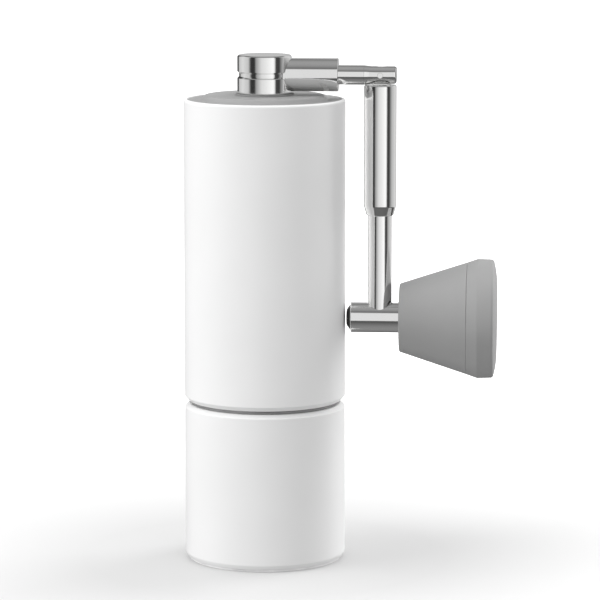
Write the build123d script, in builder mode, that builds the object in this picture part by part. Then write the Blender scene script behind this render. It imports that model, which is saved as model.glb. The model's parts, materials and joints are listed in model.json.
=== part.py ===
from build123d import *

import math
import os

# Hand crank coffee grinder, in millimetres. Z is up from the surface that the cup stands on, and
# the drive axis is Z. The crank arm runs out along +X and folds down beside the body.

# Driving dimensions
BODY_R = 26.5
BODY_BORE_R = 24.0
BODY_BOTTOM = 53.1
BODY_TOP = 152.7
RIM_BORE_R = 25.3
RIM_LEDGE = 150.65

CUP_R = 26.4
CUP_TOP = 52.0
CUP_FOOT = 0.8
CUP_BORE_R = 24.2
CUP_FLOOR = 3.0
THREAD_LOW = 44.0
THREAD_BORE_R = 23.6
NECK_R = 23.0
NECK_BORE_R = 21.5
THREAD_CREST = 0.3
THREAD_LEAD = 4.0

GASKET_BORE_R = 23.75
GASKET_R = 24.5
PAD_BORE_R = 20.0
PAD_R = 25.0
PAD_STEP = 1.6

SLEEVE_BORE_R = 21.6
CARRIER_BOTTOM = 57.0
CARRIER_TOP = 80.0
LINER_TOP = 145.5
SPOKE_ANGLES = (90, 210, 330)
BRIDGE_BASES = {"upper": 136.0, "lower": 87.0}
BRIDGE_HEIGHT = 6.0
BRIDGE_SILL = 1.0
SCREW_R = 1.2
SCREW_LENGTH = 5.0

BURR_BOTTOM = 59.0
BURR_TOP = 75.0
BURR_R = 19.0
CONE_BOTTOM = 58.0
CONE_WAIST = 68.0
CONE_TOP = 78.0
RING_TEETH = 36
CONE_TEETH = 30
DETENT_R = 9.0
DETENT_BALL_R = 1.2
DETENT_BORE_R = 1.35
DETENT_DEPTH = 4.0

SHAFT_R = 3.0
THREAD_R = 2.5
SHAFT_BOTTOM = 48.0
SHAFT_TOP = 149.0
HEX_FLATS = 7.0
SHAFT_FLAT_HALF = 2.4
WASHER = 0.6
CLIP_HEIGHT = 0.6
CLIP_GROOVE = 0.4
CLIP_LOW = BRIDGE_BASES["upper"] + BRIDGE_HEIGHT
END_CLIP_LOW = SHAFT_BOTTOM + 0.7
BEARING_R = 7.5
BEARING_WIDTH = 5.0
BALL_R = 1.1
BALL_CIRCLE_R = 5.25
BALLS = 8
DIAL_R = 12.5
NUT_R = 5.0
NUT_BOTTOM = 51.5
NUT_TOP = 57.0

LID_FLANGE_R = 25.2
LID_PLATEAU_R = 19.6
LID_TOP = 153.7
LID_BOSS_BOTTOM = 148.6
SEAL_R = 0.9
SEAL_CIRCLE_R = 22.98
SEAL_Z = 148.0
BUSH_R = 8.0
STEM_R = 6.5
STEM_BOTTOM = 147.0
SOCKET_R = 5.0
SOCKET_BOTTOM = 143.5
SOCKET_TOP = 156.0
HUB_CLIP_LOW = 147.9
HUB_R = 8.9
HUB_BOTTOM = 154.2
HUB_TOP = 166.8

ARM_Z = 160.35
ARM_BASE_R = 5.45
ARM_BASE_END = 24.2
SPIGOT_R = 3.0
SPIGOT_START = 3.0
STUD_R = 2.0
ARM_ROD_R = 3.2
ARM_ROD_END = 32.5
FORK_R = 3.0
FORK_TAPER_END = 34.2
FORK_END = 43.17
FORK_STUD_R = 1.5
FORK_STUD = 1.5
HINGE_X = 37.87
PIN_R = 0.93
TONGUE = 2.2

LOCK_TOP = 157.15
LOCK_BOTTOM = 114.45
LOCK_R = 5.3
LOCK_MOUTH_R = 3.35
LOCK_BORE_R = 4.0
LOCK_SHOULDER = 149.1
TUBE_R = 3.9
TUBE_BORE_R = 2.25
TUBE_TOP = 130.0
ARM_STEM_R = 2.9
ARM_STEM_TOP = 153.6

KNOB_Z = 80.6
CROSS_R = 4.95
CROSS_START = 28.3
CROSS_END = 50.0
PLUG_START = 27.0
PLUG_R = 2.5
PLUG_DEPTH = 4.0
KNOB_START = 44.4
KNOB_SMALL_R = 11.2
KNOB_SEAM = 66.6
KNOB_SEAM_R = 18.4
KNOB_SEAM_EDGE = 0.15
KNOB_EDGE = 70.1
KNOB_EDGE_R = 19.6
KNOB_END = 76.5
KNOB_BUSH_R = 5.5
KNOB_BUSH_END = 67.9
KNOB_AXLE_R = 3.0
KNOB_AXLE_END = 68.4
AXLE_SEAT = 8.0
KNOB_SCREW_R = 1.25
KNOB_WASHER = 0.6

FIT = 0.05        # radial play of a shaft, pin or bush, and of a part held in its seat
PRESS = 0.02      # radial gap of a pressed or glued joint
PLAY = 0.2        # gap between faces that pass each other

UPRIGHT = Axis.Z
ARM_AXIS = Axis((0, 0, ARM_Z), (1, 0, 0))
FOLD_AXIS = Axis((HINGE_X, 0, 0), (0, 0, 1))
KNOB_AXIS = Axis((0, 0, KNOB_Z), (1, 0, 0))
PIN_PLANE = Plane(origin=(HINGE_X, 0, ARM_Z), x_dir=(1, 0, 0), z_dir=(0, -1, 0))


def lathe(outline, axis=UPRIGHT, rounds=0, mode=Mode.ADD):
    """Turn a closed outline, given as (along X, along Z) from the axis's point, in the open part."""
    section = Plane(origin=axis.position, x_dir=(1, 0, 0), z_dir=(0, -1, 0))
    with BuildSketch(section) as face:
        with BuildLine():
            FilletPolyline(*outline, radius=rounds, close=True)
        make_face()
    revolve(face.sketch, axis=axis, mode=mode)


def band(inner, outer, low, high, axis=UPRIGHT, mode=Mode.ADD):
    """A plain ring, or a rod when inner is 0, between two stations of its axis."""
    if axis.direction.Z > 0.5:
        outline = [(inner, low), (outer, low), (outer, high), (inner, high)]
    else:
        outline = [(low, inner), (high, inner), (high, outer), (low, outer)]
    lathe(outline, axis, mode=mode)


def ring(inner, outer, low, high, axis=UPRIGHT):
    """A piece that is one plain ring or rod."""
    with BuildPart() as piece:
        band(inner, outer, low, high, axis)
    return piece


def turned(outline, axis=UPRIGHT, rounds=0):
    """A piece that is one turned outline."""
    with BuildPart() as piece:
        lathe(outline, axis, rounds)
    return piece


def coil(radius, wire, low, high, turns, centre=(0, 0)):
    """A round-wire spring that just fits between two heights."""
    travel = high - low - 2 * wire
    with BuildPart() as spring:
        with BuildLine() as path:
            Helix(travel / turns, travel, radius, center=(*centre, low + wire))
        with BuildSketch(Plane(origin=path.line @ 0, z_dir=path.line % 0)):
            Circle(wire)
        sweep()
    return spring


def clip(inner, outer, low, high, opening):
    """A spring clip: a flat ring with a mouth cut through it toward -Y."""
    with BuildPart() as piece:
        band(inner, outer, low, high)
        with BuildSketch(Plane.XY.offset(low)):
            with Locations((0, -outer)):
                Rectangle(opening, 2 * outer)
        extrude(amount=high - low, mode=Mode.SUBTRACT)
    return piece


def radial_plane(angle, radius, height):
    """A plane that faces outward from the drive axis at the given angle, radius and height."""
    outward = Vector(math.cos(math.radians(angle)), math.sin(math.radians(angle)), 0)
    return Plane(origin=outward * radius + Vector(0, 0, height), x_dir=(0, 0, 1), z_dir=outward)


def save(piece, name):
    """Label a finished piece and write its STEP file."""
    piece.part.label = name
    export_step(piece.part, f"parts/{name}.step")


# Body

def body_shell():
    rim_outer, rim_inner, foot_chamfer, edge = 0.85, 0.15, 1.45, 0.3
    return turned(
        [
            (BODY_BORE_R, BODY_BOTTOM),
            (BODY_R - foot_chamfer, BODY_BOTTOM),
            (BODY_R, BODY_BOTTOM + foot_chamfer),
            (BODY_R, BODY_TOP),
            (RIM_BORE_R, BODY_TOP - edge),
            (RIM_BORE_R, RIM_LEDGE),
            (BODY_BORE_R, RIM_LEDGE),
        ],
        rounds=[0, edge, edge, rim_outer, rim_inner, 0, 0],
    )


def inner_sleeve():
    with BuildPart() as sleeve:
        band(SLEEVE_BORE_R, BODY_BORE_R - FIT, CARRIER_TOP, LINER_TOP)
        for base in BRIDGE_BASES.values():
            for angle in SPOKE_ANGLES:
                with BuildSketch(radial_plane(angle, SLEEVE_BORE_R - 1, base + BRIDGE_HEIGHT / 2)):
                    Circle(SCREW_R + FIT)
                extrude(amount=BODY_R - SLEEVE_BORE_R, mode=Mode.SUBTRACT)
    return sleeve


def threaded_neck():
    flange_r, bottom = BODY_BORE_R - FIT, THREAD_LOW - 0.5
    turns, profile, root = 3, 0.8, NECK_R - 0.2
    with BuildPart() as neck:
        lathe([
            (NECK_BORE_R, bottom), (NECK_R, bottom), (NECK_R, BODY_BOTTOM),
            (flange_r, BODY_BOTTOM), (flange_r, CARRIER_BOTTOM), (NECK_BORE_R, CARRIER_BOTTOM),
        ])
        for turn in range(turns):
            low = THREAD_LOW + 1 + turn * THREAD_LEAD / 2
            lathe([
                (root, low), (NECK_R + THREAD_CREST, low + profile / 2),
                (NECK_R + THREAD_CREST, low + profile), (root, low + 1.5 * profile),
            ])
    return neck


def burr_carrier():
    lip, recess_r, funnel = 16.0, BURR_R + 2.2, 1.0
    return turned([
        (recess_r, CARRIER_BOTTOM), (BODY_BORE_R - FIT, CARRIER_BOTTOM),
        (BODY_BORE_R - FIT, CARRIER_TOP), (SLEEVE_BORE_R, CARRIER_TOP),
        (lip, BURR_TOP + funnel), (lip, BURR_TOP), (BURR_R + FIT, BURR_TOP),
        (BURR_R + FIT, BURR_BOTTOM), (recess_r, BURR_BOTTOM),
    ])


def tooth_cutter(start, end, width, depth):
    """A slot cutter along the line between two (radius, height) points."""
    with BuildPart() as cutter:
        with BuildSketch(Plane(
            origin=(start[0], 0, start[1]), x_dir=(0, 1, 0),
            z_dir=(end[0] - start[0], 0, end[1] - start[1]),
        )):
            Rectangle(width, 2 * depth)
        extrude(amount=math.dist(start, end))
    return cutter.part


def ring_burr():
    mouth_r, throat_r, skirt_r = 15.0, 11.3, 15.4
    fine = tooth_cutter((skirt_r, BURR_BOTTOM - 1), (throat_r, CONE_WAIST), 0.9, 0.5)
    coarse = tooth_cutter((throat_r, CONE_WAIST - 2), (mouth_r, BURR_TOP + 1), 2.4, 0.9)
    with BuildPart() as burr:
        lathe([
            (skirt_r, BURR_BOTTOM), (BURR_R, BURR_BOTTOM), (BURR_R, BURR_TOP),
            (mouth_r, BURR_TOP), (throat_r, CONE_WAIST),
        ])
        with PolarLocations(0, RING_TEETH):
            add(fine, mode=Mode.SUBTRACT)
        with PolarLocations(0, RING_TEETH // 6):
            add(coarse, mode=Mode.SUBTRACT)
    return burr


def burr_retaining_ring():
    notches, notch = 4, 2.0
    inner, outer = 15.8, BURR_R + 2.1
    with BuildPart() as retainer:
        band(inner, outer, CARRIER_BOTTOM, BURR_BOTTOM)
        with BuildSketch(Plane.XY.offset(CARRIER_BOTTOM)):
            with PolarLocations(inner, notches):
                Rectangle(notch, notch)
        extrude(amount=notch / 2, mode=Mode.SUBTRACT)
    return retainer


def bridge(base):
    """A bearing boss on three spokes inside a rim that fits the sleeve."""
    rim_r, rim, boss_r, spoke, inset = SLEEVE_BORE_R - FIT, 1.6, 9.2, 5.0, 0.5
    with BuildPart() as piece:
        band(rim_r - rim, rim_r, base, base + BRIDGE_HEIGHT)
        band(BEARING_R - 1.0, boss_r, base, base + BRIDGE_HEIGHT)
        with BuildSketch(Plane.XY.offset(base + inset)):
            with PolarLocations((rim_r + boss_r - rim) / 2, len(SPOKE_ANGLES), SPOKE_ANGLES[0]):
                Rectangle(rim_r - boss_r, spoke)
        extrude(amount=BRIDGE_HEIGHT - 2 * inset)
        band(0, BEARING_R, base + BRIDGE_SILL, base + BRIDGE_HEIGHT, mode=Mode.SUBTRACT)
        for angle in SPOKE_ANGLES:
            with BuildSketch(radial_plane(angle, rim_r + 1, base + BRIDGE_HEIGHT / 2)):
                Circle(SCREW_R + FIT)
            extrude(amount=-SCREW_LENGTH - 1, mode=Mode.SUBTRACT)
    return piece


def bridge_screws():
    """Six set screws through the sleeve into the ends of the spokes."""
    key, head_r = 1.3, BODY_BORE_R - 0.2
    with BuildPart() as screws:
        for base in BRIDGE_BASES.values():
            for angle in SPOKE_ANGLES:
                with BuildSketch(radial_plane(angle, head_r, base + BRIDGE_HEIGHT / 2)):
                    Circle(SCREW_R)
                    RegularPolygon(key / 2, 6, mode=Mode.SUBTRACT)
                extrude(amount=-key)
                with BuildSketch(radial_plane(angle, head_r - key, base + BRIDGE_HEIGHT / 2)):
                    Circle(SCREW_R)
                extrude(amount=-SCREW_LENGTH)
    return screws


# Bearings

def race_groove(middle):
    """The ball track: a ring of round section centred on the ball circle."""
    with BuildPart() as groove:
        with BuildSketch(Plane.XZ):
            with Locations((BALL_CIRCLE_R, middle)):
                Circle(BALL_R + FIT)
        revolve(axis=UPRIGHT)
    return groove.part


def bearing_outer(base):
    with BuildPart() as race:
        band(6.0, BEARING_R - PRESS, base, base + BEARING_WIDTH)
        add(race_groove(base + BEARING_WIDTH / 2), mode=Mode.SUBTRACT)
    return race


def bearing_inner(base):
    with BuildPart() as race:
        band(SHAFT_R + PRESS, 4.5, base, base + BEARING_WIDTH)
        add(race_groove(base + BEARING_WIDTH / 2), mode=Mode.SUBTRACT)
    return race


def bearing_balls(base):
    """The balls, between the two flat rings of their cage."""
    middle, cage_half, cage = base + BEARING_WIDTH / 2, 0.5, 0.3
    with BuildPart() as balls:
        for low in (middle - BALL_R - FIT - cage, middle + BALL_R + FIT):
            band(BALL_CIRCLE_R - cage_half, BALL_CIRCLE_R + cage_half, low, low + cage)
        with Locations((0, 0, middle)):
            with PolarLocations(BALL_CIRCLE_R, BALLS):
                Sphere(BALL_R)
    return balls


# Drive shaft and cone burr

def drive_shaft():
    hex_low, hex_chamfer, thread_top = 143.0, 0.6, CONE_BOTTOM - 0.5
    with BuildPart() as shaft:
        band(0, SHAFT_R, thread_top, CARRIER_TOP)
        with BuildSketch(Plane.XY.offset(thread_top)):
            Rectangle(4 * SHAFT_R, 2 * SHAFT_FLAT_HALF)
        extrude(amount=CARRIER_TOP - thread_top, mode=Mode.INTERSECT)
        band(0, THREAD_R, SHAFT_BOTTOM, thread_top)
        band(0, SHAFT_R, CARRIER_TOP, hex_low)
        with BuildSketch(Plane.XY.offset(hex_low)):
            RegularPolygon(HEX_FLATS / 2, 6, major_radius=False)
        extrude(amount=SHAFT_TOP - hex_low)
        chamfer(shaft.faces().sort_by(Axis.Z)[-1].edges(), hex_chamfer)
        for radius, low in ((SHAFT_R, CLIP_LOW), (THREAD_R, END_CLIP_LOW)):
            band(radius - CLIP_GROOVE, radius + 1, low, low + CLIP_HEIGHT, mode=Mode.SUBTRACT)
    return shaft


def cone_burr():
    foot_r, waist_r, auger_r, tip_r, blades = 14.6, 10.0, 8.2, 5.2, 5
    key_low, key_height, key_depth = CONE_BOTTOM + 2, CONE_TOP - CONE_BOTTOM - 2.5, 2
    fine = tooth_cutter((foot_r, CONE_BOTTOM - 1), (waist_r, CONE_WAIST), 0.9, 0.45)
    blade = auger_blade(auger_r, tip_r)
    with BuildPart() as burr:
        lathe([
            (0, CONE_BOTTOM), (foot_r, CONE_BOTTOM), (foot_r, CONE_BOTTOM + 1),
            (waist_r, CONE_WAIST), (tip_r, CONE_WAIST + 2), (tip_r, CONE_TOP), (0, CONE_TOP),
        ])
        with PolarLocations(0, CONE_TEETH):
            add(fine, mode=Mode.SUBTRACT)
        with PolarLocations(0, blades):
            add(blade)
        band(0, SHAFT_R + FIT, CONE_BOTTOM - 1, CONE_TOP + 1, mode=Mode.SUBTRACT)
        for side in (-1, 1):
            with BuildSketch(Plane.XY.offset(key_low)):
                with Locations((0, side * (SHAFT_FLAT_HALF + FIT + key_depth / 2))):
                    Rectangle(2 * SHAFT_R, key_depth)
            extrude(amount=key_height)
        with BuildSketch(Plane.XY.offset(CONE_BOTTOM)):
            with Locations((DETENT_R, 0)):
                Circle(DETENT_BORE_R)
        extrude(amount=DETENT_DEPTH, mode=Mode.SUBTRACT)
    return burr


def auger_blade(auger_r, tip_r):
    """One slanting crusher blade on the upper cone, thinner at its top."""
    low, high, slant = CONE_WAIST - 0.5, CONE_TOP - 1, 40
    low_width, high_width, overhang = 2.2, 1.6, 0.9
    with BuildPart() as blade:
        with BuildSketch(Plane.XY.offset(low)):
            with Locations((auger_r / 2 + overhang, 0)):
                Rectangle(auger_r, low_width)
        with BuildSketch(Plane.XY.offset(high)):
            with Locations(Location((0, 0, 0), (0, 0, slant))):
                with Locations((tip_r / 2 + overhang, 0)):
                    Rectangle(tip_r + overhang, high_width)
        loft()
        band(0, tip_r - 0.5, low - 1, high + 1, mode=Mode.SUBTRACT)
    return blade.part


def adjust_dial():
    low, high, edge = 52.0, 57.5, 0.5
    clicks, scallop_r, scallop_circle_r = 24, 1.5, DIAL_R + 0.9
    tick_length, tick_width, tick_circle_r = 1.4, 0.3, DIAL_R - 2.4
    with BuildPart() as dial:
        band(NUT_R, DIAL_R, low, high)
        chamfer(dial.edges().filter_by(GeomType.CIRCLE).sort_by(Axis.Z)[0:2], edge)
        with BuildSketch(Plane.XY.offset(low)):
            with PolarLocations(scallop_circle_r, clicks):
                Circle(scallop_r)
        extrude(amount=high - low, mode=Mode.SUBTRACT)
        with BuildSketch(Plane.XY.offset(low)):
            with PolarLocations(tick_circle_r, clicks):
                Rectangle(tick_length, tick_width)
        extrude(amount=tick_width, mode=Mode.SUBTRACT)
    return dial


def dial_nut():
    return ring(THREAD_R + FIT, NUT_R - PRESS, NUT_BOTTOM, NUT_TOP)


def detent_ball():
    protrusion = 0.45
    with BuildPart() as ball:
        with Locations((DETENT_R, 0, CONE_BOTTOM - protrusion + DETENT_BALL_R)):
            Sphere(DETENT_BALL_R)
    return ball


# Cup

def cup():
    foot_r, foot_height, lip_chamfer, lip_r = 25.7, 1.4, 1.2, 25.0
    recess_r, thread_end, bore_taper = PAD_BORE_R + 0.1, THREAD_LOW - 1.5, 1.5
    foot_round, foot_blend, lip_edge, lip_round, thread_edge, floor_round = 0.6, 1.0, 0.3, 0.1, 0.2, 3.0
    return turned(
        [
            (0, PAD_STEP), (recess_r, PAD_STEP), (recess_r, CUP_FOOT), (foot_r, CUP_FOOT),
            (CUP_R, CUP_FOOT + foot_height), (CUP_R, CUP_TOP - lip_chamfer), (lip_r, CUP_TOP),
            (THREAD_BORE_R, CUP_TOP), (THREAD_BORE_R, thread_end),
            (CUP_BORE_R, thread_end - bore_taper), (CUP_BORE_R, CUP_FLOOR), (0, CUP_FLOOR),
        ],
        rounds=[0, 0, 0, foot_round, foot_blend, lip_edge, lip_round, thread_edge, 0, 0, floor_round, 0],
    )


def cup_foot_pad():
    return turned(
        [(0, 0), (PAD_R, 0), (PAD_R, CUP_FOOT), (PAD_BORE_R, CUP_FOOT), (PAD_BORE_R, PAD_STEP),
         (0, PAD_STEP)],
        rounds=[0, 0.3, 0, 0, 0, 0],
    )


def cup_gasket():
    return turned(
        [(GASKET_BORE_R, CUP_TOP), (GASKET_R, CUP_TOP), (GASKET_R, BODY_BOTTOM - FIT),
         (GASKET_BORE_R, BODY_BOTTOM - FIT)],
        rounds=[0.2, 0.3, 0.3, 0.2],
    )


# Lid

def seal_torus(section_r):
    """A round-section ring on the seal's circle."""
    with BuildPart() as torus:
        with BuildSketch(Plane.XZ):
            with Locations((SEAL_CIRCLE_R, SEAL_Z)):
                Circle(section_r)
        revolve(axis=UPRIGHT)
    return torus.part


def lid():
    skirt_r, skirt_inner_r, skirt_low, boss_r = 23.7, 21.8, 146.2, 10.0
    underside, seat = LID_TOP - 2.0, RIM_LEDGE + FIT
    flange_top, valley_r, valley = 152.25, 20.9, 152.05
    with BuildPart() as piece:
        lathe(
            [
                (BUSH_R, LID_BOSS_BOTTOM), (boss_r, LID_BOSS_BOTTOM), (boss_r, underside),
                (LID_PLATEAU_R, underside), (skirt_inner_r, RIM_LEDGE), (skirt_inner_r, skirt_low),
                (skirt_r, skirt_low), (skirt_r, seat), (LID_FLANGE_R, seat),
                (LID_FLANGE_R, flange_top), (valley_r, valley), (LID_PLATEAU_R, LID_TOP), (BUSH_R, LID_TOP),
            ],
            rounds=[0, 0.5, 0.5, 1, 0.3, 0.5, 0.5, 0.2, 0, 0.3, 0.5, 0.9, 0],
        )
        add(seal_torus(SEAL_R + PRESS), mode=Mode.SUBTRACT)
    return piece


def lid_seal_ring():
    with BuildPart() as seal:
        add(seal_torus(SEAL_R))
    return seal


def lid_bush():
    return ring(STEM_R + FIT, BUSH_R - PRESS, LID_BOSS_BOTTOM, LID_TOP)


# Crank

def crank_hub():
    top_edge, low_edge, stem_edge, groove_half, groove = 0.7, 0.35, 0.3, 1.1, 0.58
    with BuildPart() as hub:
        lathe(
            [
                (0, SOCKET_TOP), (SOCKET_R, SOCKET_TOP), (SOCKET_R, STEM_BOTTOM), (STEM_R, STEM_BOTTOM),
                (STEM_R, HUB_BOTTOM), (HUB_R, HUB_BOTTOM), (HUB_R, HUB_TOP), (0, HUB_TOP),
            ],
            rounds=[0, 0, 0, stem_edge, 0, low_edge, top_edge, 0],
        )
        lathe(
            [
                (HUB_R + 1, ARM_Z - groove_half - 1), (HUB_R + 1, ARM_Z + groove_half + 1),
                (HUB_R - groove, ARM_Z + groove_half - groove),
                (HUB_R - groove, ARM_Z - groove_half + groove),
            ],
            mode=Mode.SUBTRACT,
        )
        band(0, SPIGOT_R, SPIGOT_START, HUB_R + 1, ARM_AXIS, mode=Mode.SUBTRACT)
        clip_high = HUB_CLIP_LOW + CLIP_HEIGHT
        band(STEM_R - CLIP_GROOVE, STEM_R + 1, HUB_CLIP_LOW, clip_high, mode=Mode.SUBTRACT)
    return hub


def hub_washer():
    return ring(STEM_R + FIT, 9.6, LID_TOP + FIT, HUB_BOTTOM)


def drive_socket():
    depth, hex_gap = 6.0, 0.1
    with BuildPart() as socket:
        band(0, SOCKET_R - PRESS, SOCKET_BOTTOM, SOCKET_TOP)
        with BuildSketch(Plane.XY.offset(SOCKET_BOTTOM)):
            RegularPolygon(HEX_FLATS / 2 + hex_gap, 6, major_radius=False)
        extrude(amount=depth, mode=Mode.SUBTRACT)
    return socket


def arm_base(hub):
    """The thick root of the arm, cut to the hub's outside and pinned into it by a spigot."""
    stud_depth = 5.0
    with BuildPart() as base:
        lathe(
            [(0, 0), (ARM_BASE_END, 0), (ARM_BASE_END, ARM_BASE_R), (0, ARM_BASE_R)],
            ARM_AXIS, rounds=[0, 0, 0.3, 0],
        )
        band(0, HUB_R - 0.5, HUB_BOTTOM, HUB_TOP, mode=Mode.SUBTRACT)
        add(hub.part, mode=Mode.SUBTRACT)
        band(0, SPIGOT_R - PRESS, SPIGOT_START + PLAY, HUB_R + 2, ARM_AXIS)
        band(0, STUD_R, ARM_BASE_END - stud_depth, ARM_BASE_END, ARM_AXIS, mode=Mode.SUBTRACT)
    return base


def arm_rod():
    """The thinner rod, with a stud at each end for the pieces it joins."""
    stud_start, stud_end, stud_r = ARM_BASE_END - 4.8, ARM_ROD_END + FORK_STUD, STUD_R - PRESS
    return turned(
        [
            (stud_start, 0), (stud_end, 0), (stud_end, FORK_STUD_R), (ARM_ROD_END, FORK_STUD_R),
            (ARM_ROD_END, ARM_ROD_R), (ARM_BASE_END, ARM_ROD_R), (ARM_BASE_END, stud_r),
            (stud_start, stud_r),
        ],
        ARM_AXIS,
    )


def arm_fork():
    slot_start, edge, nose, shoulder = HINGE_X - 3.4, 0.15, 0.8, 0.4
    stud_end = ARM_ROD_END + FORK_STUD + FIT
    with BuildPart() as fork:
        lathe(
            [
                (ARM_ROD_END, 0), (FORK_END, 0), (FORK_END, FORK_R), (FORK_TAPER_END, FORK_R),
                (ARM_ROD_END + edge, ARM_ROD_R), (ARM_ROD_END, ARM_ROD_R - edge),
            ],
            ARM_AXIS, rounds=[0, 0, nose, shoulder, 0, 0],
        )
        band(0, FORK_STUD_R + PRESS, ARM_ROD_END, stud_end, ARM_AXIS, mode=Mode.SUBTRACT)
        with BuildSketch(Plane.XY.offset(ARM_Z - FORK_R)):
            with Locations(((slot_start + FORK_END + 1) / 2, 0)):
                Rectangle(FORK_END + 1 - slot_start, TONGUE + PLAY)
        extrude(amount=2 * FORK_R, mode=Mode.SUBTRACT)
        with BuildSketch(PIN_PLANE.offset(-FORK_R)):
            Circle(PIN_R + PRESS / 2)
        extrude(amount=2 * FORK_R, mode=Mode.SUBTRACT)
    return fork


def hinge_pin():
    half_length, edge = FORK_R - 0.12, 0.12
    with BuildPart() as pin:
        with BuildSketch(PIN_PLANE.offset(-half_length)):
            Circle(PIN_R)
        extrude(amount=2 * half_length)
        chamfer(pin.edges().filter_by(GeomType.CIRCLE), edge)
    return pin


# Folding arm

def arm_stem():
    """The rod inside the lock sleeve, flattened at its top into the hinge's tongue."""
    head_r, neck, root, plug = 2.75, 4.6, 1.0, 6.0
    drop = ARM_Z - ARM_STEM_TOP + root
    with BuildPart() as stem:
        with BuildSketch(PIN_PLANE.offset(-TONGUE / 2)):
            Circle(head_r)
            with Locations((0, -drop / 2)):
                Rectangle(neck, drop)
            Circle(PIN_R + FIT, mode=Mode.SUBTRACT)
        extrude(amount=TONGUE)
        band(0, ARM_STEM_R, TUBE_TOP, ARM_STEM_TOP, FOLD_AXIS)
        band(0, TUBE_BORE_R - FIT, TUBE_TOP - plug, TUBE_TOP, FOLD_AXIS)
    return stem


def arm_tube():
    with BuildPart() as tube:
        band(TUBE_BORE_R, TUBE_R, KNOB_Z, TUBE_TOP, FOLD_AXIS)
        band(0, CROSS_R, CROSS_START, CROSS_END, KNOB_AXIS, mode=Mode.SUBTRACT)
    return tube


def cross_rod():
    """The short thick rod across the foot of the tube, with a dished seat round the tube."""
    saddle_r, saddle_floor_r, saddle_depth = TUBE_R + 0.7, TUBE_R - 1.1, 1.8
    floor, above = CROSS_R - saddle_depth, CROSS_R + 2
    with BuildPart() as rod:
        lathe(
            [(CROSS_START, 0), (CROSS_END, 0), (CROSS_END, CROSS_R), (CROSS_START, CROSS_R)],
            KNOB_AXIS, rounds=[0, 0, 0.4, 0.35],
        )
        lathe(
            [(0, floor), (saddle_floor_r, floor), (saddle_r, CROSS_R + 0.1), (saddle_r, above), (0, above)],
            Axis((HINGE_X, 0, KNOB_Z), (0, 0, 1)), mode=Mode.SUBTRACT,
        )
        band(0, KNOB_AXLE_R + PRESS, CROSS_END - AXLE_SEAT, CROSS_END, KNOB_AXIS, mode=Mode.SUBTRACT)
        band(0, PLUG_R, CROSS_START, CROSS_START + PLUG_DEPTH, KNOB_AXIS, mode=Mode.SUBTRACT)
    return rod


def cross_rod_plug():
    stem_r, stem_end, flange_r, face_r, edge = PLUG_R - PRESS, CROSS_START + PLUG_DEPTH - 0.1, 4.5, 2.5, 0.25
    return turned(
        [(PLUG_START, 0), (stem_end, 0), (stem_end, stem_r), (CROSS_START, stem_r),
         (CROSS_START, flange_r), (PLUG_START, face_r)],
        KNOB_AXIS, rounds=[0, 0, 0, 0, edge, edge],
    )


def knob_axle():
    tap = 6.0
    with BuildPart() as axle:
        band(0, KNOB_AXLE_R, CROSS_END - AXLE_SEAT + 0.1, KNOB_AXLE_END, KNOB_AXIS)
        band(0, KNOB_SCREW_R + FIT, KNOB_AXLE_END - tap, KNOB_AXLE_END, KNOB_AXIS, mode=Mode.SUBTRACT)
    return axle


def knob_screw():
    """Holds the washer on the axle's end, with a hexagonal key socket."""
    length, head_r, key_r = 5.0, 2.6, 1.3
    head_start = KNOB_AXLE_END + KNOB_WASHER
    head_end = head_start + 2.0
    with BuildPart() as screw:
        band(0, KNOB_SCREW_R, KNOB_AXLE_END - length, head_start, KNOB_AXIS)
        band(0, head_r, head_start, head_end, KNOB_AXIS)
        with BuildSketch(Plane(origin=(head_end, 0, KNOB_Z), z_dir=(1, 0, 0))):
            RegularPolygon(key_r, 6)
        extrude(amount=-key_r, mode=Mode.SUBTRACT)
    return screw


def knob_washer():
    return ring(KNOB_SCREW_R + 0.1, 4.8, KNOB_AXLE_END, KNOB_AXLE_END + KNOB_WASHER, KNOB_AXIS)


# Lock sleeve

def lock_sleeve():
    end_r, taper = 4.4, 117.6
    low_edge, shoulder, top_edge, mouth_edge = 0.35, 2.0, 0.5, 0.4
    return turned(
        [
            (LOCK_BORE_R, LOCK_BOTTOM), (end_r, LOCK_BOTTOM), (LOCK_R, taper), (LOCK_R, LOCK_TOP),
            (LOCK_MOUTH_R, LOCK_TOP), (LOCK_MOUTH_R, LOCK_SHOULDER), (LOCK_BORE_R, LOCK_SHOULDER),
        ],
        FOLD_AXIS, rounds=[0, low_edge, shoulder, top_edge, mouth_edge, 0, 0],
    )


# Knob

def knob_shell():
    """The tapered body of the knob, hollow round the tube that holds its bushes."""
    wall, hollow_start, boss_r, boss_end = 2.4, KNOB_START + 9, KNOB_BUSH_R + 2, 67.4
    mouth_r, bore_start = CROSS_R + 0.25, CROSS_END + 0.4
    return turned(
        [
            (KNOB_START, mouth_r), (KNOB_START, KNOB_SMALL_R), (KNOB_SEAM, KNOB_SEAM_R),
            (KNOB_SEAM, KNOB_SEAM_R - wall), (hollow_start, KNOB_SMALL_R + 1),
            (hollow_start, boss_r), (boss_end, boss_r), (boss_end, KNOB_BUSH_R),
            (bore_start, KNOB_BUSH_R), (bore_start, mouth_r),
        ],
        KNOB_AXIS, rounds=[0.2, 0.6, KNOB_SEAM_EDGE, 0, 1, 1, 0, 0, 0, 0],
    )


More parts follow.
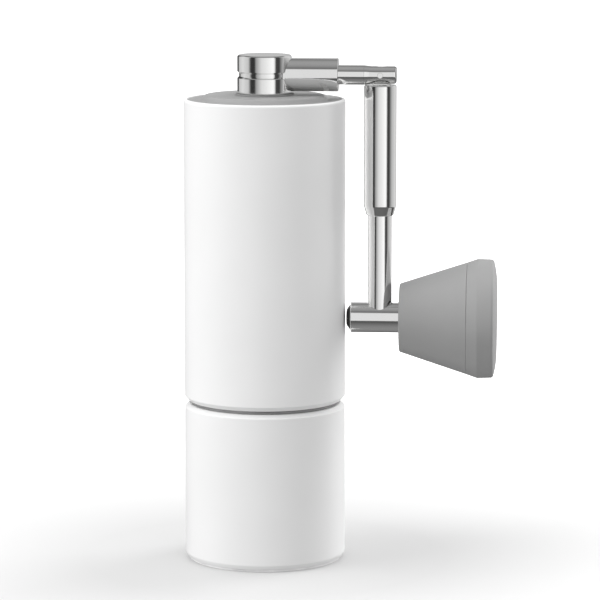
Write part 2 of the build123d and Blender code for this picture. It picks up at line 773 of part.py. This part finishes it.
def knob_cap():
    """The broad end of the knob: a rim that leans in a little, then a shallow dome."""
    wall, rim_start, rim_r, rim_round = 2.2, 75.2, 19.4, 1.0
    dome_r, dome_start, skirt_r = 15.0, 76.25, KNOB_SEAM_R - 2.5
    return turned(
        [
            (KNOB_SEAM, KNOB_SEAM_R), (KNOB_EDGE, KNOB_EDGE_R), (rim_start, rim_r), (dome_start, dome_r),
            (KNOB_END, 0), (KNOB_END - wall, 0), (dome_start - wall, dome_r), (KNOB_SEAM, skirt_r),
        ],
        KNOB_AXIS, rounds=[KNOB_SEAM_EDGE, 0.9, rim_round, 25.0, 0, 0, 1, 0],
    )


def knob_bush(low, high):
    return ring(KNOB_AXLE_R + FIT, KNOB_BUSH_R - PRESS, low, high, KNOB_AXIS)


# Springs and clips

def shaft_clip():
    return clip(SHAFT_R - CLIP_GROOVE + PRESS, 5.0, CLIP_LOW, CLIP_LOW + CLIP_HEIGHT, 4.0)


def shaft_end_clip():
    return clip(THREAD_R - CLIP_GROOVE + PRESS, 4.4, END_CLIP_LOW, END_CLIP_LOW + CLIP_HEIGHT, 3.2)


def hub_clip():
    return clip(STEM_R - CLIP_GROOVE + PRESS, 7.8, HUB_CLIP_LOW, HUB_CLIP_LOW + CLIP_HEIGHT, 9.0)


def burr_washer():
    return ring(SHAFT_R + 0.1, 5.0, CONE_TOP, CONE_TOP + WASHER)


def burr_spring():
    seat = BRIDGE_BASES["lower"] + BRIDGE_SILL - FIT
    return coil(radius=3.9, wire=0.45, low=CONE_TOP + WASHER, high=seat, turns=4)


def detent_spring():
    low, high = CONE_BOTTOM + 2.0, CONE_BOTTOM + DETENT_DEPTH - FIT
    return coil(radius=0.9, wire=0.15, low=low, high=high, turns=3, centre=(DETENT_R, 0))


def sleeve_spring():
    return coil(radius=3.42, wire=0.35, low=TUBE_TOP, high=LOCK_SHOULDER, turns=9, centre=(HINGE_X, 0))


def single_pieces():
    hub = crank_hub()
    makers = (
        body_shell, inner_sleeve, threaded_neck, burr_carrier, ring_burr, burr_retaining_ring,
        bridge_screws, drive_shaft, shaft_clip, shaft_end_clip, burr_spring, cone_burr, burr_washer,
        detent_ball, detent_spring, adjust_dial, dial_nut, cup, cup_foot_pad, cup_gasket, lid,
        lid_seal_ring, lid_bush, hub_washer, drive_socket, hub_clip, arm_rod, arm_fork, hinge_pin,
        arm_stem, arm_tube, cross_rod, cross_rod_plug, knob_axle, knob_screw, knob_washer,
        lock_sleeve, sleeve_spring, knob_shell, knob_cap,
    )
    pieces = {make.__name__: make() for make in makers}
    return pieces | {"crank_hub": hub, "arm_base": arm_base(hub)}


def paired_pieces():
    """The two knob bushes, and the two bearing bridges with what they carry."""
    pieces = {
        "knob_bush_inner": knob_bush(CROSS_END + 0.5, 57.0),
        "knob_bush_outer": knob_bush(61.5, KNOB_BUSH_END),
    }
    for level, base in BRIDGE_BASES.items():
        seat = base + BRIDGE_SILL
        pieces[f"{level}_bridge"] = bridge(base)
        pieces[f"{level}_bearing_outer"] = bearing_outer(seat)
        pieces[f"{level}_bearing_inner"] = bearing_inner(seat)
        pieces[f"{level}_bearing_balls"] = bearing_balls(seat)
    return pieces


os.makedirs("parts", exist_ok=True)
for part_name, part_piece in (single_pieces() | paired_pieces()).items():
    save(part_piece, part_name)
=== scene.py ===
import json
import math

import bpy
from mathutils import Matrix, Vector

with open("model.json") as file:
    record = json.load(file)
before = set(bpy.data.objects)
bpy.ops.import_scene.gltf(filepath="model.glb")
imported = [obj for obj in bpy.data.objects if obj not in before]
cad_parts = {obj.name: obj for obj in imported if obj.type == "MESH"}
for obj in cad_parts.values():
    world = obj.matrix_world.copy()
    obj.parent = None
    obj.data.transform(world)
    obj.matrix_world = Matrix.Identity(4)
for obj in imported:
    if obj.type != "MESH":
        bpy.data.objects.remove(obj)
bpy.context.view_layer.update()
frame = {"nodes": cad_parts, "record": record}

scene = bpy.context.scene
nodes = frame["nodes"]
slot_of = {part["node"]: part["material_slot"] for part in frame["record"]["subparts"]}

# Every place and size is in metres. The front is -Y, the arm is on +X and the floor is at height 0.

# Camera: a long lens a little to the right of the grinder, looking slightly down
CAMERA_AZIMUTH = math.radians(4.8)
CAMERA_DISTANCE = 1.105
CAMERA_HEIGHT = 0.2499
CAMERA_DOWN = math.radians(8.44)
CAMERA_TURN = math.radians(0.60)
LENS_MM = 203.5
SENSOR_MM = 36

# Floor: its tone and, by distance from the grinder's axis, the light that it gives off itself
FLOOR_HALF = 3.0
FLOOR_GREY = 0.58
FLOOR_GREYS = (0.575, 0.585)
GLOW_DISTANCES = (0.06, 0.4)
GLOW_STRENGTHS = (0.05, 0.9)

# What the camera sees behind the floor
BACKDROP = 1.1

# How bright the sky is for soft light, by the sine of the elevation
SKY = ((-1.0, 0.60), (-0.2, 0.65), (0.2, 0.71), (1.0, 0.88))

# What the polished metal mirrors, by compass direction in degrees from the front, toward the right
STUDIO_BANDS = (
    (-180, 0.55), (-166, 0.50), (-160, 0.06), (-140, 0.06), (-128, 0.62), (-100, 0.78),
    (-68, 0.62), (-57, 0.08), (-52, 0.035), (-38, 0.04), (-31, 0.35), (-8, 0.78),
    (15, 0.92), (40, 1.10), (47, 0.95), (54, 0.06), (70, 0.05), (79, 0.25),
    (96, 0.55), (135, 0.75), (165, 0.50), (180, 0.55),
)
# By the sine of the elevation: the mirrored ground's own tone up to GROUND_TOP, and above it how much
# of the bands shows
GROUND_AND_BANDS = ((-1.0, 0.26), (-0.60, 0.13), (-0.36, 0.07), (-0.30, 1.0), (1.0, 1.0))
GROUND_TOP = -0.33
# By the sine of the elevation too: the mirrored ceiling's tone, and how far it hides the bands
CEILING = ((0.0, 0.16), (0.75, 0.17), (0.90, 0.30), (1.0, 0.36))
CEILING_START = ((0.0, 0.0), (0.62, 0.0), (0.70, 1.0), (1.0, 1.0))

# Area lights: place, point aimed at, width and height, and watts
AIM_AT_BODY = (0, 0, 0.09)
AIM_AT_FOOT = (0, 0, 0)
LIGHTS = {
    "left": ((-1.2, -0.5, 0.5), AIM_AT_BODY, (0.9, 1.2), 11.5),
    "right": ((1.0, 0.85, 0.35), AIM_AT_BODY, (0.8, 1.0), 16),
    "top": ((0.0, -0.1, 1.6), AIM_AT_FOOT, (1.6, 1.6), 13.5),
}

# The colour sockets of a Mix node, by number because its other sockets have the same names
MIX_FIRST, MIX_SECOND, MIX_RESULT = 6, 7, 2


# Node helpers

def grey(level):
    """An opaque grey."""
    return (level, level, level, 1)


def plug(tree, socket, value):
    """Link an input socket to another node's output, or set it to a plain value."""
    if isinstance(value, bpy.types.NodeSocket):
        tree.links.new(value, socket)
    else:
        socket.default_value = value


def math_node(tree, operation, first, second):
    """One operation of a Math node on two sockets or numbers."""
    node = tree.nodes.new("ShaderNodeMath")
    node.operation = operation
    plug(tree, node.inputs[0], first)
    plug(tree, node.inputs[1], second)
    return node.outputs["Value"]


def mixed(tree, factor, first, second, blend="MIX"):
    """Colour first where factor is 0, and second, or the two blended, where it is 1."""
    node = tree.nodes.new("ShaderNodeMix")
    node.data_type = "RGBA"
    node.blend_type = blend
    plug(tree, node.inputs["Factor"], factor)
    plug(tree, node.inputs[MIX_FIRST], first)
    plug(tree, node.inputs[MIX_SECOND], second)
    return node.outputs[MIX_RESULT]


def ramp_of(tree, value, stops):
    """A grey ramp through (value, brightness) stops."""
    low = stops[0][0]
    high = stops[-1][0]
    ranged = tree.nodes.new("ShaderNodeMapRange")
    ranged.inputs["From Min"].default_value = low
    ranged.inputs["From Max"].default_value = high
    tree.links.new(value, ranged.inputs["Value"])
    ramp = tree.nodes.new("ShaderNodeValToRGB")
    tree.links.new(ranged.outputs["Result"], ramp.inputs["Fac"])
    elements = ramp.color_ramp.elements
    while len(elements) < len(stops):
        elements.new(0.5)
    for element, (at, level) in zip(elements, stops):
        element.position = (at - low) / (high - low)
        element.color = grey(level)
    return ramp.outputs["Color"]


# Materials

class Shader:
    """A node material with a principled shader and helpers for its texture nodes."""

    def __init__(self, name, colour, roughness, metallic=0.0):
        self.material = bpy.data.materials.new(name)
        self.material.use_nodes = True
        self.tree = self.material.node_tree
        self.shader = self.tree.nodes["Principled BSDF"]
        self.colour = colour
        self.roughness = roughness
        self.set("Base Color", (*colour, 1))
        self.set("Roughness", roughness)
        self.set("Metallic", metallic)
        self.place = self.tree.nodes.new("ShaderNodeTexCoord").outputs["Object"]

    def set(self, socket, value):
        """Set one of the principled shader's own sockets."""
        self.shader.inputs[socket].default_value = value

    def feed(self, socket, value):
        """Link one of the principled shader's sockets to a node's output."""
        self.tree.links.new(value, self.shader.inputs[socket])

    def node(self, kind, inputs, **settings):
        """A new node with its inputs linked or set."""
        node = self.tree.nodes.new(kind)
        for key, value in settings.items():
            setattr(node, key, value)
        for key, value in inputs.items():
            plug(self.tree, node.inputs[key], value)
        return node

    def noise(self, scale, detail, stretch=(1, 1, 1)):
        """Noise with so many features to the metre, about 0.5 on average."""
        mapped = self.node("ShaderNodeMapping", {"Vector": self.place, "Scale": stretch})
        noise = self.node(
            "ShaderNodeTexNoise",
            {"Vector": mapped.outputs["Vector"], "Scale": scale, "Detail": detail},
        )
        return noise.outputs["Fac"]

    def spread(self, value, span, targets):
        """The value, with the two ends of its span moved to the two targets."""
        ranged = self.node("ShaderNodeMapRange", {
            "Value": value,
            "From Min": span[0],
            "From Max": span[1],
            "To Min": targets[0],
            "To Max": targets[1],
        })
        return ranged.outputs["Result"]

    def between(self, value, span, colours):
        """A colour from the first to the second as the value crosses its span."""
        ramp = self.node("ShaderNodeValToRGB", {"Fac": value})
        for element, at, colour in zip(ramp.color_ramp.elements, span, colours):
            element.position = at
            element.color = (*colour, 1)
        return ramp.outputs["Color"]

    def vary_tone(self, value, span, factors):
        """Shade the base colour by the two factors as the value crosses its span."""
        self.feed("Base Color", self.between(value, span, [shade(self.colour, f) for f in factors]))

    def vary_roughness(self, value, span, changes):
        """Add the two changes to the roughness as the value crosses its span."""
        self.feed("Roughness", self.spread(value, span, [self.roughness + c for c in changes]))

    def bump(self, height, strength, distance):
        """Fine relief from a height between 0 and 1."""
        bump = self.node("ShaderNodeBump", {
            "Height": height, "Strength": strength, "Distance": distance,
        })
        self.feed("Normal", bump.outputs["Normal"])


def shade(colour, factor):
    """A colour made lighter or darker by a factor."""
    return tuple(min(1.0, c * factor) for c in colour)


def coated(name, colour, roughness=0.42):
    """Satin powder coat: a fine orange peel and a faint unevenness of tone."""
    coat = Shader(name, colour, roughness)
    coat.set("Specular IOR Level", 0.22)
    peel = coat.noise(scale=1400, detail=2.0)
    cloud = coat.noise(scale=35, detail=2.0)
    coat.vary_tone(cloud, span=(0.35, 0.65), factors=(0.985, 1.01))
    coat.vary_roughness(peel, span=(0.3, 0.7), changes=(-0.04, 0.05))
    coat.bump(peel, strength=0.06, distance=0.00004)
    return coat.material


def moulded(name, colour, roughness=0.5):
    """Moulded plastic with a fine spark-eroded grain."""
    plastic = Shader(name, colour, roughness)
    grain = plastic.noise(scale=2600, detail=3.0)
    cloud = plastic.noise(scale=60, detail=2.0)
    plastic.vary_tone(cloud, span=(0.3, 0.7), factors=(0.96, 1.03))
    plastic.vary_roughness(grain, span=(0.3, 0.7), changes=(-0.06, 0.06))
    plastic.bump(grain, strength=0.12, distance=0.00005)
    return plastic.material


def polished(name, colour, roughness=0.07):
    """Polished plated steel: almost a mirror, with faint hairlines and handling marks."""
    plate = Shader(name, colour, roughness, metallic=1.0)
    hair = plate.noise(scale=900, detail=2.0, stretch=(1, 1, 0.08))
    smudge = plate.noise(scale=70, detail=3.0)
    plate.vary_tone(smudge, span=(0.35, 0.7), factors=(0.97, 1.0))
    plate.vary_roughness(smudge, span=(0.35, 0.75), changes=(0.0, 0.06))
    plate.bump(hair, strength=0.02, distance=0.00002)
    return plate.material


def brushed(name, colour, roughness=0.3):
    """Turned or brushed metal with fine lines along its height."""
    metal = Shader(name, colour, roughness, metallic=1.0)
    lines = metal.noise(scale=1500, detail=3.0, stretch=(1, 1, 0.03))
    metal.vary_tone(lines, span=(0.3, 0.7), factors=(0.88, 1.05))
    metal.vary_roughness(lines, span=(0.3, 0.7), changes=(-0.07, 0.1))
    metal.bump(lines, strength=0.08, distance=0.00003)
    return metal.material


def rubber(name, colour, roughness=0.75):
    """Moulded rubber with a dusty, finely pitted skin."""
    skin = Shader(name, colour, roughness)
    pits = skin.noise(scale=1800, detail=4.0)
    dust = skin.noise(scale=90, detail=3.0)
    skin.vary_tone(dust, span=(0.3, 0.75), factors=(0.9, 1.25))
    skin.vary_roughness(pits, span=(0.3, 0.7), changes=(-0.08, 0.08))
    skin.bump(pits, strength=0.15, distance=0.00006)
    return skin.material


def floor_material():
    """A pale sweep: matt round the grinder, and white further out by its own light."""
    sweep = Shader("floor", (FLOOR_GREY,) * 3, roughness=0.6)
    cloud = sweep.noise(scale=3, detail=2.0)
    tones = sweep.between(cloud, span=(0.3, 0.7), colours=[(level,) * 3 for level in FLOOR_GREYS])
    sweep.feed("Base Color", tones)
    reach = sweep.node("ShaderNodeVectorMath", {"Vector": sweep.place}, operation="LENGTH")
    sweep.set("Emission Color", (1, 1, 1, 1))
    glow = sweep.spread(reach.outputs["Value"], GLOW_DISTANCES, GLOW_STRENGTHS)
    sweep.feed("Emission Strength", glow)
    return sweep.material


# The record's material slots: maker, colour and roughness where it isn't the maker's usual one
FINISHES = {
    "white_coat": (coated, (0.80, 0.80, 0.80)),
    "grey_plastic": (moulded, (0.315, 0.315, 0.315)),
    "chrome": (polished, (0.90, 0.90, 0.895)),
    "stainless": (brushed, (0.62, 0.62, 0.61)),
    "black_anodised": (brushed, (0.05, 0.05, 0.055), 0.4),
    "carrier_plastic": (moulded, (0.03, 0.03, 0.03)),
    "burr_steel": (brushed, (0.38, 0.38, 0.39), 0.34),
    "dark_screw": (brushed, (0.08, 0.08, 0.085), 0.4),
    "bearing_steel": (brushed, (0.60, 0.60, 0.61), 0.2),
    "brass": (brushed, (0.68, 0.48, 0.20), 0.28),
    "rubber": (rubber, (0.25, 0.25, 0.25)),
    "foot_grey": (rubber, (0.80, 0.80, 0.80)),
    "black_plastic": (moulded, (0.012, 0.012, 0.012), 0.35),
}


def dress_nodes():
    """Give every CAD node the finish of its slot."""
    finishes = {slot: maker(slot, *settings) for slot, (maker, *settings) in FINISHES.items()}
    for name, node in nodes.items():
        node.data.materials.clear()
        node.data.materials.append(finishes[slot_of[name]])


# Scene

def make_camera():
    """The camera at the photograph's viewing angle."""
    data = bpy.data.cameras.new("camera")
    data.lens = LENS_MM
    data.sensor_width = SENSOR_MM
    camera = bpy.data.objects.new("camera", data)
    camera.location = (
        CAMERA_DISTANCE * math.sin(CAMERA_AZIMUTH),
        -CAMERA_DISTANCE * math.cos(CAMERA_AZIMUTH),
        CAMERA_HEIGHT,
    )
    camera.rotation_euler = (math.pi / 2 - CAMERA_DOWN, 0, CAMERA_AZIMUTH - CAMERA_TURN)
    scene.collection.objects.link(camera)
    scene.camera = camera


def make_floor():
    """A floor that the camera sees, left out of reflections and of soft bounce light."""
    half = FLOOR_HALF
    mesh = bpy.data.meshes.new("floor")
    corners = [(-half, -half, 0), (half, -half, 0), (half, half, 0), (-half, half, 0)]
    mesh.from_pydata(corners, [], [(0, 1, 2, 3)])
    floor = bpy.data.objects.new("floor", mesh)
    scene.collection.objects.link(floor)
    floor.data.materials.append(floor_material())
    floor.visible_glossy = False
    floor.visible_diffuse = False


def mirrored_studio(tree, right, back, height):
    """Bright panels and dark flags round the grinder, between a dim ground and a dim ceiling."""
    front = math_node(tree, "MULTIPLY", back, -1.0)
    compass = math_node(tree, "ARCTAN2", right, front)
    degrees = math_node(tree, "MULTIPLY", compass, 180 / math.pi)
    bands = ramp_of(tree, degrees, STUDIO_BANDS)
    ground = ramp_of(tree, height, GROUND_AND_BANDS)
    walls = mixed(tree, 1.0, bands, ground, "MULTIPLY")
    in_ground = math_node(tree, "LESS_THAN", height, GROUND_TOP)
    below_ceiling = mixed(tree, in_ground, walls, ground)
    in_ceiling = ramp_of(tree, height, CEILING_START)
    return mixed(tree, in_ceiling, below_ceiling, ramp_of(tree, height, CEILING))


def make_world():
    """White to the camera, a smooth sky for soft light, and a studio for the metal to mirror."""
    world = bpy.data.worlds.new("studio")
    scene.world = world
    world.use_nodes = True
    tree = world.node_tree
    direction = tree.nodes.new("ShaderNodeTexCoord").outputs["Generated"]
    split = tree.nodes.new("ShaderNodeSeparateXYZ")
    tree.links.new(direction, split.inputs["Vector"])
    right, back, height = split.outputs
    mirrored = mirrored_studio(tree, right, back, height)
    soft = ramp_of(tree, height, SKY)
    rays = tree.nodes.new("ShaderNodeLightPath")
    lit = mixed(tree, rays.outputs["Is Glossy Ray"], soft, mirrored)
    seen = mixed(tree, rays.outputs["Is Camera Ray"], lit, grey(BACKDROP))
    tree.links.new(seen, tree.nodes["Background"].inputs["Color"])


def area_light(name, place, aim, size, power):
    """A soft rectangular light, left out of reflections."""
    data = bpy.data.lights.new(name, "AREA")
    data.shape = "RECTANGLE"
    data.size, data.size_y = size
    data.energy = power
    light = bpy.data.objects.new(name, data)
    light.location = place
    light.rotation_euler = (Vector(aim) - Vector(place)).to_track_quat("-Z", "Y").to_euler()
    light.visible_glossy = False
    scene.collection.objects.link(light)


scene.view_settings.view_transform = "Standard"
make_camera()
make_floor()
make_world()
dress_nodes()
for name, settings in LIGHTS.items():
    area_light(name, *settings)
